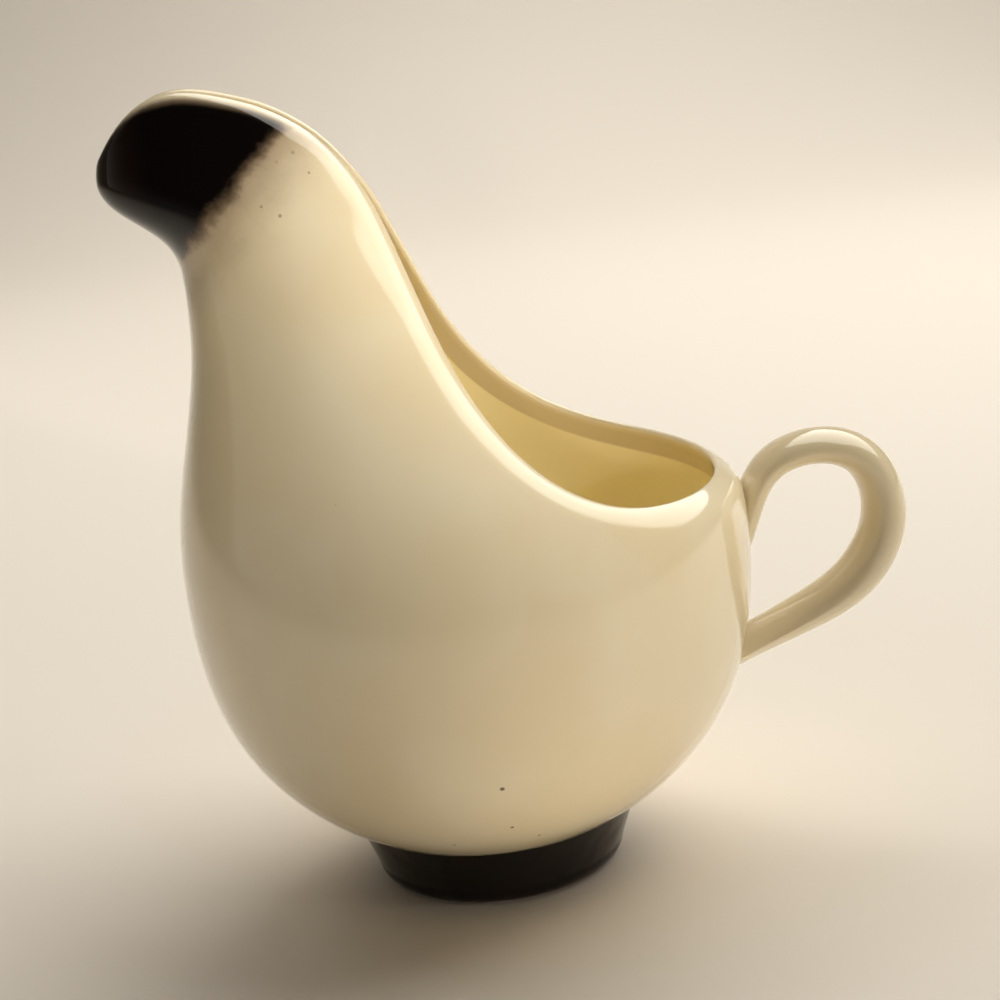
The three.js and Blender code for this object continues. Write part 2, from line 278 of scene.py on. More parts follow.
def skin(turn, climb):
    """Points on the outside of the wall, in mm from the foot's centre. Turn 0 is the back, pi the front."""
    height, front, back, half = np.moveaxis(section_at(climb), -1, 0)
    x = (back - front) / 2 + (back + front) / 2 * np.cos(turn)
    return np.stack([x, half * np.sin(turn), height], -1)


def skin_normal(turn, climb):
    """The way that the wall faces, from four points close by."""
    round_it = skin(turn + NUDGE, climb) - skin(turn - NUDGE, climb)
    up_it = skin(turn, climb + NUDGE) - skin(turn, climb - NUDGE)
    normal = np.cross(round_it, up_it)
    return normal / np.linalg.norm(normal, axis=-1, keepdims=True)


print("sections reach from", round(climb_heights[0], 1), "to", round(climb_heights[-1], 1), "mm")

# %% [markdown]
# ### The rim
# The mouth falls from the tip of the spout to the low back of the bowl in one sweep. A Boolean cut along
# that sweep would leave thin ragged faces. Instead each point of the drawn side view is found on the skin,
# and the points are spaced evenly, so that the mesh can end on them.

# %% Even points along the rim
HALF_STEPS = 96
RIM_MARKS = 3000

rim_start = BELLY_LEVEL + RIM_BACK_RISE
rim_stop = BELLY_LEVEL + RIM_TIP_RISE
rim_line = [(section_at(climb_at_height(rim_start))[2], rim_start)]
rim_line += [(behind - BELLY_RADIUS, BELLY_LEVEL + rise) for behind, rise in RIM]
rim_line += [(-section_at(climb_at_height(rim_stop))[1], rim_stop)]
rim_at = natural_spline(rim_line)


def rim_place(along):
    """Turn and climb of points of the rim."""
    x, height = np.moveaxis(rim_at(along), -1, 0)
    climb = climb_at_height(height)
    _, front, back, _ = np.moveaxis(section_at(climb), -1, 0)
    return np.arccos(np.clip((2 * x - back + front) / (back + front), -1, 1)), climb


def spread_rim(count):
    """Places along one half of the rim, an even distance apart, and that half's length."""
    marks = np.linspace(0, len(rim_line) - 1, RIM_MARKS)
    points = skin(*rim_place(marks))
    run = np.concatenate([[0], np.cumsum(np.linalg.norm(np.diff(points, axis=0), axis=1))])
    turn, climb = rim_place(np.interp(np.linspace(0, run[-1], count + 1), run, marks))
    turn[0] = 0
    turn[-1] = math.pi
    return turn, climb, run[-1]


half_turn, half_climb, half_length = spread_rim(HALF_STEPS)
print("the rim is", round(2 * half_length), "mm long, a mesh line meets it every",
      round(half_length / HALF_STEPS, 2), "mm")

# %% [markdown]
# ### From the skin to rings
# A mesh of level rings would meet the slanting rim in steps. So the rings run level only up to the belly.
# Above it every mesh line leans over to its own point of the rim, and the last ring is the rim itself.

# %% Rings of the outside
# The climb at which mesh lines start to lean, and the rows below and above it. The upper rows crowd
# together towards the rim, and the lines lean late rather than early.
FAN_START = len(BOWL_ANGLES) - 0.8
BOWL_ROWS = 30
UPPER_ROWS = 84
ROW_CROWDING = 0.8
FAN_BEND = 3


def wall_rings():
    """Rings of the outside from near the middle of the underside to the rim, and the way they face."""
    rim_turn = np.concatenate([half_turn, FULL_TURN - half_turn[-2:0:-1]])
    rim_climb = np.concatenate([half_climb, half_climb[-2:0:-1]])
    base = FULL_TURN * np.arange(len(rim_turn)) / len(rim_turn)
    places = [(base, np.full_like(base, UNDERSIDE + (FAN_START - UNDERSIDE) * row / BOWL_ROWS))
              for row in range(1, BOWL_ROWS + 1)]
    for row in range(1, UPPER_ROWS + 1):
        part = (row / UPPER_ROWS) ** ROW_CROWDING
        places.append((base + (rim_turn - base) * part ** FAN_BEND,
                       FAN_START + (rim_climb - FAN_START) * part))
    return np.array([skin(*place) for place in places]), np.array([skin_normal(*place) for place in places])


outer_rings, wall_normals = wall_rings()
rim_ring = outer_rings[-1].copy()
around = len(rim_ring)
print("rings of the outside:", len(outer_rings), "with", around, "points each")

# %% [markdown]
# ### How far below the rim
# The wall gets thinner towards the lip, and glaze runs thin there too, so the distance from the rim is
# wanted at every point. A Geometry Proximity node gives such a distance as well. It is worked out here
# because the mesh itself depends on it.

# %% Distances from the rim
NEAR_PIECES = 8


def distance_from_rim(rings):
    """Distance of each vertex from the rim line, tried against the rim's nearest few pieces."""
    best = np.full(rings.shape[:2], np.inf)
    for shift in range(-NEAR_PIECES, NEAR_PIECES):
        start = np.roll(rim_ring, -shift, 0)
        run = np.roll(rim_ring, -shift - 1, 0) - start
        part = np.clip(np.sum((rings - start) * run, -1) / np.sum(run * run, -1), 0, 1)
        best = np.minimum(best, np.linalg.norm(rings - start - part[..., None] * run, axis=-1))
    return best


below_rim = distance_from_rim(outer_rings)
print("the last ring but one lies", round(below_rim[-2].mean(), 2), "mm below the rim on average")

# %% [markdown]
# ### The lip
# The lip isn't a plain half round: a damp sponge takes more off the outside. A Bevel modifier would round
# both edges alike, so the lip's rings are worked out. A broad arc leads up the outside and a tight one turns
# over into the bowl. Towards the tip of the spout the broad arc gets smaller.

# %% Two arcs over the lip
# Steps of each arc, the wall at the lip and how far below it the thinning starts. Then the broad arc: its
# radius, its radius at the tip, how far round it runs, and the stretch along the spout on which it shrinks.
LIP_STEPS = 8
LIP_WALL = 3.5
LIP_THINNING = 14.0
LIP_BROAD = 7.2
LIP_BROAD_AT_TIP = 3.0
LIP_SWEEP = math.radians(48)
LIP_TAPER_START = -12.0
LIP_TAPER_STOP = -44.0


def lip_sizes():
    """Radius of the broad arc, radius of the tight one, and the height at which the broad one starts."""
    near_tip = np.clip((LIP_TAPER_START - rim_ring[:, :1]) / (LIP_TAPER_START - LIP_TAPER_STOP), 0, 1)
    broad = LIP_BROAD + (LIP_BROAD_AT_TIP - LIP_BROAD) * near_tip * near_tip * (3 - 2 * near_tip)
    sunk = broad * (1 - math.cos(LIP_SWEEP))
    tight = (LIP_WALL - sunk) / (1 + math.cos(LIP_SWEEP))
    return broad, tight, WALL / 2 - broad * math.sin(LIP_SWEEP) - tight * (1 - math.sin(LIP_SWEEP))


def lip_over(broad, tight, start):
    """Rings from the rim over the lip to the inside."""
    outward = wall_normals[-1]
    upward = np.cross(outward, np.roll(rim_ring, -1, 0) - np.roll(rim_ring, 1, 0))
    upward /= np.linalg.norm(upward, axis=1, keepdims=True)
    rings = []
    first = np.arcsin(-start / broad)
    for step in range(1, LIP_STEPS + 1):
        angle = first + (LIP_SWEEP - first) * step / LIP_STEPS
        rings.append(rim_ring - broad * (1 - np.cos(angle)) * outward
                     + (start + broad * np.sin(angle)) * upward)
    middle = rim_ring - (LIP_WALL - tight) * outward + (WALL / 2 - tight) * upward
    for step in range(1, LIP_STEPS):
        angle = LIP_SWEEP + (math.pi - LIP_SWEEP) * step / LIP_STEPS
        rings.append(middle + tight * (math.cos(angle) * outward + math.sin(angle) * upward))
    return rings


broad_arc, tight_arc, arc_start = lip_sizes()
lip_rings = lip_over(broad_arc, tight_arc, arc_start)
print("the tight arc's radius runs from", round(tight_arc.min(), 2), "to", round(tight_arc.max(), 2), "mm")

# %% [markdown]
# ### The inside, and the eased edge
# A Solidify modifier would give the inside at one thickness. The wall here is thinner at the lip, so each
# point is moved in by its own thickness. The top of the outside is also eased back on to the broad arc, so
# that the arc starts without an edge.

# %% Rings of the inside
thinned = np.clip(1 - below_rim / LIP_THINNING, 0, 1) ** 2
inner_rings = outer_rings - (WALL + (LIP_WALL - WALL) * thinned)[..., None] * wall_normals
risen = np.clip(-below_rim - arc_start[:, 0], 0, None)
eased = broad_arc[:, 0] - np.sqrt(broad_arc[:, 0] ** 2 - risen ** 2)
outer_rings -= eased[..., None] * wall_normals
print("the outside is eased back by up to", round(eased.max(), 2), "mm")

# %% [markdown]
# ### The mesh and what it remembers
# The rings are joined by quads and closed at the bottom, inside and out. The glaze has to know where the lip
# and the inside are. That could be painted by hand on the mesh. Here each vertex simply remembers how far it
# lies from the lip's outer edge, in millimetres, and how far over the lip it is, from 0 outside to 1 inside.

# %% Helpers for closed meshes
ML_PER_CUBIC_METRE = 1e6


def mesh_object(name, points, faces):
    mesh = bpy.data.meshes.new(name)
    mesh.from_pydata([tuple(p) for p in points], [], faces)
    mesh.polygons.foreach_set("use_smooth", [True] * len(mesh.polygons))
    mesh.validate()
    made = bpy.data.objects.new(name, mesh)
    bpy.context.scene.collection.objects.link(made)
    return made


def face_outwards(made):
    """Turns a closed mesh the right way out, by the sign of its volume, and prints what it holds."""
    work = bmesh.new()
    work.from_mesh(made.data)
    if work.calc_volume(signed=True) < 0:
        bmesh.ops.reverse_faces(work, faces=work.faces[:])
    volume = work.calc_volume(signed=True) * ML_PER_CUBIC_METRE
    work.to_mesh(made.data)
    work.free()
    print(made.name, "faces:", len(made.data.polygons), "clay in ml:", round(volume, 2))


def ring_faces(count):
    """Quads between the rings, and a fan of triangles round the first and the last point."""
    end = 1 + (count - 1) * around
    last = end + around
    faces = []
    for i in range(around):
        j = (i + 1) % around
        faces.append((0, 1 + j, 1 + i))
        for low in range(1, end, around):
            high = low + around
            faces.append((low + i, low + j, high + j, high + i))
        faces.append((end + i, end + j, last))
    return faces


print("two rings are joined by", len(ring_faces(2)) - 2 * around, "quads")

# %% Build the shell
FAR_BELOW = 99.0

rings = [*outer_rings, *lip_rings, *inner_rings[::-1]]
points = np.concatenate([[[0, 0, BOWL_LIFT]], *rings, [[0, 0, BOWL_LIFT + WALL]]])
shell = mesh_object("glazed_shell", (points + (FOOT_CENTRE, 0, 0)) * MM, ring_faces(len(rings)))
face_outwards(shell)

lip_shares = [step / (2 * LIP_STEPS) for step in range(1, 2 * LIP_STEPS)]
over_lip = [0.0] * len(outer_rings) + lip_shares + [1.0] * len(inner_rings)
depths = np.concatenate([below_rim, np.zeros((len(lip_rings), around)), below_rim[::-1]]).ravel()
for title, values in (
    ("over_lip", np.concatenate([[0.0], np.repeat(over_lip, around), [1.0]])),
    ("below_rim", np.concatenate([[FAR_BELOW], depths, [FAR_BELOW]])),
):
    shell.data.attributes.new(title, "FLOAT", "POINT").data.foreach_set("value", values)
    print("each vertex remembers", title, "from", round(values.min(), 2), "to", round(values.max(), 2))

# %% [markdown]
# ## Turned and swept pieces
# The foot ring is turned and the handle is a strap that follows a bent line. A Screw modifier could turn
# the one, and a bevelled curve could sweep the other, with one section that it only makes larger or
# smaller. Both are really a sheet of quads that is rolled round a line, so Geometry Nodes make both: a
# Grid gives the sheet, Sample Curve reads the line at each row, and Set Position rolls the sheet up, with
# any section at any place.

# %% A sheet and its line
def node_group(name, inputs):
    """A Geometry Nodes tree with named number inputs. Returns it with its input wires."""
    group = bpy.data.node_groups.new(name, "GeometryNodeTree")
    group.interface.new_socket("Geometry", in_out="INPUT", socket_type="NodeSocketGeometry")
    group.interface.new_socket("Geometry", in_out="OUTPUT", socket_type="NodeSocketGeometry")
    for title in inputs:
        group.interface.new_socket(title, in_out="INPUT", socket_type="NodeSocketFloat")
    tree = Tree(group)
    titles = ("Geometry", *inputs)
    return tree, dict(zip(titles, tree.add("NodeGroupInput", out=titles)))


def sheet_on_line(tree, line, rows, columns):
    """A grid with its share along and its angle round the line, and the line's place and direction."""
    sheet, shares = tree.add("GeometryNodeMeshGrid", None, {"Vertices X": rows, "Vertices Y": columns},
                             out=("Mesh", "UV Map"))
    along, across, _ = tree.axes(shares)
    curve = tree.add("GeometryNodeMeshToCurve", None, {"Mesh": line})
    place, tangent = tree.add("GeometryNodeSampleCurve", {"mode": "FACTOR"},
                              {"Curves": curve, "Factor": along}, out=("Position", "Tangent"))
    return sheet, along, across * FULL_TURN, place, tangent


print("a sheet has a share along its line and an angle round it")

# %% [markdown]
# Rolled up, the sheet's two long edges lie on each other, and Merge by Distance sews them together. The
# tree ends in Realize Instances and Set Material. Then the result is kept as a plain mesh, because a live
# modifier would be one more thing that an export has to carry.

# %% Close the sheet and keep it
SEAM_GAP = 2e-6


def close_group(tree, sheet, x, y, z, material):
    position = tree.add("ShaderNodeCombineXYZ", None, {"X": x, "Y": y, "Z": z})
    moved = tree.add("GeometryNodeSetPosition", None, {"Geometry": sheet, "Position": position})
    joined = tree.add("GeometryNodeMergeByDistance", None, {"Geometry": moved, "Distance": SEAM_GAP})
    smooth = tree.add("GeometryNodeSetShadeSmooth", None, {0: joined})
    real = tree.add("GeometryNodeRealizeInstances", None, {0: smooth})
    painted = tree.add("GeometryNodeSetMaterial", None, {"Geometry": real, "Material": material})
    tree.add("NodeGroupOutput", None, {"Geometry": painted})


def grow(name, line, tree, values):
    """Runs a tree on a line of points and keeps the result as a plain mesh."""
    carrier = bpy.data.meshes.new(name + "_line")
    carrier.from_pydata([tuple(p) for p in line], [(i, i + 1) for i in range(len(line) - 1)], [])
    made = bpy.data.objects.new(name, carrier)
    bpy.context.scene.collection.objects.link(made)
    modifier = made.modifiers.new(name, "NODES")
    modifier.node_group = tree.tree
    inputs = [item for item in tree.tree.interface.items_tree if item.in_out == "INPUT"]
    identifiers = {item.name: item.identifier for item in inputs}
    for title, value in values.items():
        modifier[identifiers[title]] = value
    ready = made.evaluated_get(bpy.context.evaluated_depsgraph_get())
    mesh = bpy.data.meshes.new_from_object(ready)
    made.modifiers.clear()
    made.data = mesh
    mesh.name = name
    face_outwards(made)
    return made


print("points of a seam are merged where they are closer than", SEAM_GAP / MM, "mm")

# %% [markdown]
# ## The ivory glaze
# A glaze is a thin coat of coloured glass. It drifts a little in tone, and iron in the clay burns through it
# in specks. An image could carry that, but it has to be painted and unwrapped, and it blurs close up. Noise
# and Voronoi textures on Object coordinates need no unwrapping, so the same sums serve every piece.

# %% Colours of the glaze
IVORY = paint(231, 216, 182)
IVORY_WARM = paint(227, 209, 170)
# Inside the bowl: a deeper yellow, brighter than the ivory as painted light in the bowl.
INSIDE_YELLOW_PAINTED_LIGHT = paint(251, 236, 186)
# Painted shade: a darker band on the inside just under the lip.
PAINTED_LIP_SHADE = paint(214, 194, 150)
SPRAY_DARK = paint(10, 6, 5)
# Painted reflection: a lighter brown-black on the very front of the tip, where the glossy black mirrors the
# pale room.
PAINTED_TIP_REFLECTION = paint(33, 22, 15)
SPRAY_THIN = paint(104, 70, 46)
SPECK = paint(70, 46, 28)
print("ivory throws back", [round(share, 2) for share in IVORY[:3]], "of red, green and blue light")

# %% Places and clouds on the glaze
def empty_material(name):
    """A material with no nodes yet, and its tree."""
    material = bpy.data.materials.new(name)
    material.use_nodes = True
    material.node_tree.nodes.clear()
    return material, Tree(material.node_tree)


def coordinates(tree):
    """Place on the piece in mm from the foot's centre, as a vector and as three numbers."""
    place = tree.add("ShaderNodeTexCoord", out="Object")
    vector = tree.add("ShaderNodeVectorMath", {"operation": "MULTIPLY_ADD"},
                      {0: place, 1: (1 / MM,) * 3, 2: (-FOOT_CENTRE, 0, 0)})
    return vector, *tree.axes(vector)


def noise(tree, vector, size, detail=2.0):
    """Soft cloudy value about 0.5, with blobs of the given size in mm."""
    return tree.add("ShaderNodeTexNoise", None, {"Vector": vector, "Scale": 1 / size, "Detail": detail})


def wobble(tree, vector, size, reach):
    """A soft cloudy shift to both sides of 0."""
    return (noise(tree, vector, size) - 0.5) * reach


print("the pattern's zero point lies under the foot, at x =", round(FOOT_CENTRE * MM, 4), "m")

# %% [markdown]
# ### Specks
# Most specks fall anywhere, so a Voronoi texture scatters them: a spot in the middle of a cell, and only in
# some of the cells. A few can be seen plainly on the real piece. These are placed by their distance from a
# point, which needs no mask.

# %% Scattered and placed spots
SPECK_SPACING = 9.0
SPECK_RADIUS = 0.5
SPECK_RARITY = 0.8

# The share of a spot's radius that is fully dark, for scattered and for placed ones.
SCATTERED_CORE = 0.5
PLACED_CORE = 0.4

# Specks that can be seen, in mm from the foot's centre, with their radius.
SPECK_PLACES = [
    (1.1, -43.9, 30.7, 0.55), (2.0, -37.7, 21.3, 0.4),
    (-7.7, -32.9, 17.3, 0.3), (6.3, -33.3, 17.4, 0.3),
]


def iron_specks(tree, vector):
    """Small round spots, at most one in each cell and in only some of the cells."""
    distance, colour = tree.add("ShaderNodeTexVoronoi", None,
                                {"Vector": vector, "Scale": 1 / SPECK_SPACING}, out=("Distance", "Color"))
    chance, luck = tree.add("ShaderNodeSeparateColor", None, {0: colour}, out=("Red", "Green"))
    size = luck * (SPECK_RADIUS / SPECK_SPACING)
    return (1 - tree.step(distance, size * SCATTERED_CORE, size)) * (chance > SPECK_RARITY)


def placed_spots(tree, vector, places):
    """Soft round spots at given places."""
    total = 0.0
    for *centre, radius in places:
        away = tree.add("ShaderNodeVectorMath", {"operation": "DISTANCE"}, {0: vector, 1: centre},
                        out="Value")
        total = (1 - tree.step(away, radius * PLACED_CORE, radius)).at_least(total)
    return total


print("specks: one in", round(1 / (1 - SPECK_RARITY)), "cells, and", len(SPECK_PLACES), "placed ones")

# %% [markdown]
# ### Painted light inside, and the sprayed tip
# Inside the bowl the glaze is painted a deeper yellow, and brighter than outside as painted light, with a
# band of painted shade under the lip. On the tip a dark glaze was sprayed over the ivory: its front slants,
# its edge is ragged, and it thins to red-brown and breaks into droplets. The very front of the tip is
# painted a lighter brown-black as a painted reflection. All that could be painted by hand on the mesh. Here
# it is a sum of the place, the noise and the two values that each vertex remembers, so each edge is one pair
# of numbers.

# %% Where the spray lies
# The slanted edge in side view, in mm from the foot's centre: where it crosses the front of the spout, and
# the way that it climbs.
SPRAY_START = (-40.9, 116.1)
SPRAY_CLIMB = math.radians(44)

# Where the spray fades over the lip: mm from the lip's outer edge, the shift of these at the tip, and the
# share over the lip that it never passes.
LIP_SPAN = 6.0
LIP_FADE = (-1.2, 2.2)
LIP_FADE_AT_TIP = (1.6, 2.0)
LIP_LIMIT = (0.5, 0.6)
TIP_EDGE = (-50.0, -40.0)


def spray_depth(x, z):
    """How far past its slanted edge the spray is, in mm."""
    return (x - SPRAY_START[0]) * -math.sin(SPRAY_CLIMB) + (z - SPRAY_START[1]) * math.cos(SPRAY_CLIMB)


def spray_side(tree, x, over, below):
    """1 on the outside, 0 over the lip and inside."""
    tip = 1 - tree.step(x, *TIP_EDGE)
    start, stop = [edge + shift * tip for edge, shift in zip(LIP_FADE, LIP_FADE_AT_TIP)]
    return (1 - tree.step(over * LIP_SPAN - below, start, stop)) * (1 - tree.step(over, *LIP_LIMIT))


print("the spray's edge climbs at", round(math.degrees(SPRAY_CLIMB)), "degrees from", SPRAY_START)

# %% Layers of the spray
# Size of the ragged blobs and how far they move the edge, then the edge of each layer and its strength.
RAGGED = ((6.0, 4.0), (0.8, 1.0))
HAZE_EDGE, HAZE_STRENGTH = (-16.0, -1.0), 0.55
THIN_EDGE, THIN_STRENGTH = (-5.0, -0.2), 0.8
THICK_EDGE = (-2.8, 1.0)
# Where the painted reflection on the front of the tip ends, in mm from the foot's centre along x.
TIP_REFLECTION_EDGE = (-51.0, -43.0)

# Droplets: spacing, size as a share of it, where they start, and strength. Then those that can be seen, in
# mm from the foot's centre, with their radius.
DROPLET_SPACING, DROPLET_SIZE = 1.8, (0.08, 0.22)
DROPLET_EDGE, DROPLET_STRENGTH = (-8.0, -1.0), 0.25
PLACED_STRENGTH = 0.6
DROPLET_PLACES = [
    (-20.4, -9.5, 129.6, 0.5), (-26.2, -14.4, 122.1, 0.45), (-23.1, -10.7, 128.5, 0.4),
    (-23.4, -15.1, 120.4, 0.45), (-29.5, -14.9, 119.6, 0.4), (-18.2, -10.6, 126.2, 0.35),
]


def droplets(tree, vector, depth, outside):
    dots = tree.add("ShaderNodeTexVoronoi", None, {"Vector": vector, "Scale": 1 / DROPLET_SPACING})
    fine = (1 - tree.step(dots, *DROPLET_SIZE)) * tree.step(depth, *DROPLET_EDGE) * outside
    placed = placed_spots(tree, vector, DROPLET_PLACES)
    return (fine * DROPLET_STRENGTH).at_least(placed * PLACED_STRENGTH)


def spray_over(tree, colour, vector, x, z, outside):
    """Lays the spray over a colour. Returns the new colour and how thick the spray lies."""
    depth = spray_depth(x, z)
    ragged = depth
    for size, reach in RAGGED:
        ragged = ragged + wobble(tree, vector, size, reach)
    haze = tree.step(ragged, *HAZE_EDGE) * outside
    thin = tree.step(ragged, *THIN_EDGE) * outside
    thick = tree.step(ragged, *THICK_EDGE) * outside * outside
    brown = (thin * THIN_STRENGTH).at_least(droplets(tree, vector, depth, outside))
    brown = brown.at_least(haze * haze * HAZE_STRENGTH)
    # The very front of the tip takes the lighter colour of the painted reflection.
    dark = tree.blend(1 - tree.step(x, *TIP_REFLECTION_EDGE), SPRAY_DARK, PAINTED_TIP_REFLECTION)
    return tree.blend(thick, tree.blend(brown, colour, SPRAY_THIN), dark), thick


fade = THICK_EDGE[1] - HAZE_EDGE[0]
print("the spray fades over", fade, "mm, with", len(DROPLET_PLACES), "placed droplets")

# %% [markdown]
# ### Coat on coat
# The finished coat is very smooth, with a shallow waviness, so that reflections don't look machined. Real
# waves in the mesh would need far more faces, so a Bump node tilts the surface instead. One function makes
# the coat for the shell and, without the spray, for the handle.

# %% The ivory coat
DRIFT_SIZE, DRIFT_EDGE = 30.0, (0.35, 0.65)
SPECK_STRENGTH = 0.7
PLACED_SPECK_STRENGTH = 0.85
INSIDE_EDGE = (0.9, 1.0)
# Depth below the rim, in mm, where the painted shade under the lip gives way to the painted light inside.
LIP_SHADE_EDGE = (3.0, 3.6)
GLAZE_ROUGHNESS, DRIFT_ROUGHNESS, SPRAY_SMOOTHING = 0.05, 0.03, 0.02
GLAZE_COAT = 0.4

# Size in mm of the long and of the short waves, and how high they are.
WAVES = ((22.0, 0.55), (3.0, 0.03))


def inside_light_and_lip_shade(tree, colour, over, below):
    """The inside: a deeper yellow, brighter as painted light, with a band of painted shade under the lip."""
    inside = tree.step(over, *INSIDE_EDGE)
    lip_shaded = tree.blend(inside, colour, PAINTED_LIP_SHADE)
    return tree.blend(inside * tree.step(below, *LIP_SHADE_EDGE), lip_shaded, INSIDE_YELLOW_PAINTED_LIGHT)


def glaze_material(name, sprayed):
    material, tree = empty_material(name)
    vector, x, _, z = coordinates(tree)
    drift = tree.step(noise(tree, vector, DRIFT_SIZE), *DRIFT_EDGE)
    colour = tree.blend(drift, IVORY, IVORY_WARM)
    colour = tree.blend(iron_specks(tree, vector) * SPECK_STRENGTH, colour, SPECK)
    roughness = GLAZE_ROUGHNESS + DRIFT_ROUGHNESS * drift
    coat = GLAZE_COAT
    if sprayed:
        over, below = [tree.add("ShaderNodeAttribute", {"attribute_name": title}, None, out="Fac")
                       for title in ("over_lip", "below_rim")]
        # Inside: painted light in the bowl, and a band of painted shade under the lip.
        colour = inside_light_and_lip_shade(tree, colour, over, below)
        specks = placed_spots(tree, vector, SPECK_PLACES) * PLACED_SPECK_STRENGTH
        colour = tree.blend(specks, colour, SPECK)
        outside = spray_side(tree, x, over, below)
        colour, thick = spray_over(tree, colour, vector, x, z, outside)
        roughness = roughness - thick * SPRAY_SMOOTHING
        coat = GLAZE_COAT - thick * GLAZE_COAT
    long_wave, short_wave = [noise(tree, vector, size, detail=1.0) * height for size, height in WAVES]
    normal = tree.add("ShaderNodeBump", None,
                      {"Height": long_wave + short_wave, "Distance": 1.2 * MM, "Strength": 0.35})
    surface = tree.add("ShaderNodeBsdfPrincipled", None, {
        "Base Color": colour, "Roughness": roughness, "Normal": normal, "IOR": 1.55, "Coat Weight": coat,
        "Coat Roughness": 0.02})
    tree.add("ShaderNodeOutputMaterial", None, {"Surface": surface})
    print(name, "has", len(material.node_tree.nodes), "nodes")
    return material


shell_glaze = glaze_material("ivory_glaze_sprayed", True)
handle_glaze = glaze_material("ivory_glaze", False)
shell.data.materials.append(shell_glaze)

# %% [markdown]
# ## The dark glaze of the foot
# The ring is glazed the same near-black as the tip. The coat is patchy, and a little thinner and browner at
# the table, where glaze runs off an edge. The edge could be found by a Pointiness value, but that works in
# one renderer only, so the height above the table gives it.

# %% Dark glaze
DARK_PATCH = paint(24, 15, 11)
PATCH_SIZE, PATCH_EDGE, PATCH_STRENGTH = 6.0, (0.4, 0.7), 0.5
WORN_EDGE, WORN_STRENGTH = (0.2, 1.2), 0.5
WORN_BLOBS = (2.0, 1.2)  # size, and how far they move the worn edge
DARK_ROUGHNESS, PATCH_ROUGHNESS, WORN_ROUGHNESS = 0.1, 0.06, 0.2
DARK_WAVE = 5.0


def dark_glaze_material():
    material, tree = empty_material("dark_glaze")
    vector, _, _, z = coordinates(tree)
    patch = tree.step(noise(tree, vector, PATCH_SIZE), *PATCH_EDGE)
    worn = 1 - tree.step(z + wobble(tree, vector, *WORN_BLOBS), *WORN_EDGE)
    colour = tree.blend(patch * PATCH_STRENGTH, SPRAY_DARK, DARK_PATCH)
    colour = tree.blend(worn * WORN_STRENGTH, colour, SPRAY_THIN)
    roughness = DARK_ROUGHNESS + PATCH_ROUGHNESS * patch + WORN_ROUGHNESS * worn
    normal = tree.add("ShaderNodeBump", None, {"Height": noise(tree, vector, DARK_WAVE, detail=1.0),
                                               "Distance": 1.0 * MM, "Strength": 0.2})
    surface = tree.add("ShaderNodeBsdfPrincipled", None, {
        "Base Color": colour, "Roughness": roughness, "Normal": normal, "IOR": 1.5,
        "Specular IOR Level": 0.3})
    tree.add("ShaderNodeOutputMaterial", None, {"Surface": surface})
    print("dark_glaze has", len(material.node_tree.nodes), "nodes")
    return material


dark_glaze = dark_glaze_material()

# %% [markdown]
# ## The foot ring
# The bowl stands on a low ring that flares upwards and is rounded where it meets the table. It could be cut
# from a cylinder with bevels, but a turner thinks of a profile, so its profile is drawn once and turned
# round. The ring's top runs a little way into the bowl's wall, so no gap shows at the joint.

# %% Profile of the ring
FOOT_RADIUS = 22.2
FOOT_FLARE = 3.6
FOOT_WALL = 6.5
FOOT_OUTER_ROUNDING = 3.0
FOOT_INNER_ROUNDING = 0.8
FOOT_SUNK = 1.0
ROUNDING_POINTS = 8
TOP_POINTS = 7


def arc(centre, radius, start, stop):
    """A quarter round that touches the table."""
    angles = np.radians(np.linspace(start, stop, ROUNDING_POINTS))
    return [(centre + radius * math.cos(a), radius + radius * math.sin(a)) for a in angles]


def bowl_height(radius):
    """Height of the bowl's outside at a distance from the middle."""
    return BELLY_LEVEL - BOWL_DEPTH * math.sqrt(1 - (radius / BELLY_RADIUS) ** 2)


def ring_profile():
    bore = FOOT_RADIUS - FOOT_WALL
    top = FOOT_RADIUS + FOOT_FLARE
    points = arc(bore + FOOT_INNER_ROUNDING, FOOT_INNER_ROUNDING, 180, 270)
    points += arc(FOOT_RADIUS - FOOT_OUTER_ROUNDING, FOOT_OUTER_ROUNDING, 270, 360)
    points += [(radius, bowl_height(radius) + FOOT_SUNK) for radius in np.linspace(top, bore, TOP_POINTS)]
    return points + points[:1]


ring_line = [(radius * MM, 0, height * MM) for radius, height in ring_profile()]
print("the ring is", round(max(z for _, _, z in ring_line) / MM, 2), "mm high where it meets the bowl")

# %% Turn the ring
RING_ROWS = 96
RING_STEPS = 160


def ring_tree(material):
    tree, wires = node_group("turned_ring", ("Centre",))
    sheet, _, angle, place, _ = sheet_on_line(tree, wires["Geometry"], RING_ROWS, RING_STEPS + 1)
    radius, _, height = tree.axes(place)
    x = wires["Centre"] + radius * angle.function("COSINE")
    close_group(tree, sheet, x, radius * angle.function("SINE"), height, material)
    return tree


foot = grow("glazed_foot_ring", ring_line, ring_tree(dark_glaze), {"Centre": FOOT_CENTRE * MM})

# %% [markdown]
# ## The strap handle
# The handle is a pulled strap with an oval section. It is thinnest near its upper root and fullest in the
# outer bend, and a soft ridge runs down the lower arm. At both roots it spreads into the wall, as wet clay
# does when it is smoothed down. A curve with a bevel could follow the line, but it can't grow a ridge on
# the way. The tree below takes the sizes as inputs and works the section out at each row.

# %% The strap's line
# From the upper root to the lower one: past the belly's back, and rise above the widest round.
HANDLE_LINE = [
    (-4.2, 0.5), (0, 8.1), (5, 17.7), (14.6, 20.8), (22.7, 16.7),
    (24.9, 6.4), (19.3, -3.5), (8.8, -9.5), (-6.3, -15.5),
]
LINE_POINTS = 161

